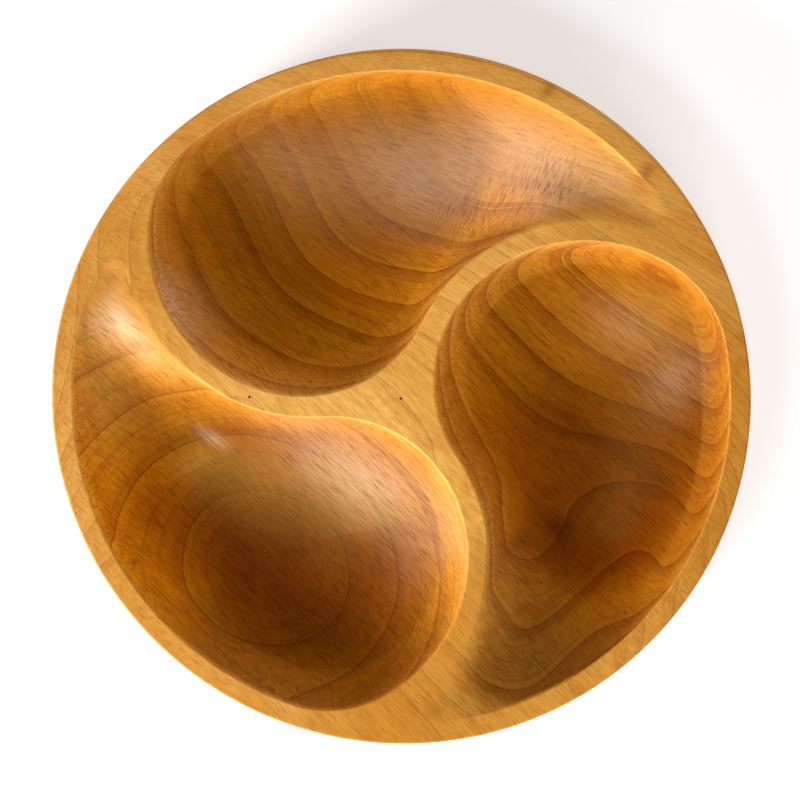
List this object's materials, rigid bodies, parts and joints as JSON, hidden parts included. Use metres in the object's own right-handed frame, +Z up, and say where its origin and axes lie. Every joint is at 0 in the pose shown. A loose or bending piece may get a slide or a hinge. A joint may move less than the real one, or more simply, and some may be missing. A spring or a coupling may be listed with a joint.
{
  "type": "divided serving bowl",
  "caption": "Round carved wooden serving bowl with flat rim and curved webs between deep comma-shaped wells, on small non-slip feet.",
  "frame": {"origin": "centre of the bowl on the plane that its feet stand on", "axes": "+Z up out of the wells, +X towards the round head of the first well"},
  "size_m": [0.3, 0.3, 0.041],
  "materials": {
    "wood": "smooth sanded hardwood with a satin oil finish, fine pores and growth-ring lines",
    "foot_rubber": "matt dark rubber"
  },
  "bodies": {
    "root": {"bowl_body": "wood", "foot_front_left": "foot_rubber", "foot_front_right": "foot_rubber", "foot_back_left": "foot_rubber", "foot_back_right": "foot_rubber"}
  },
  "joints": []
}
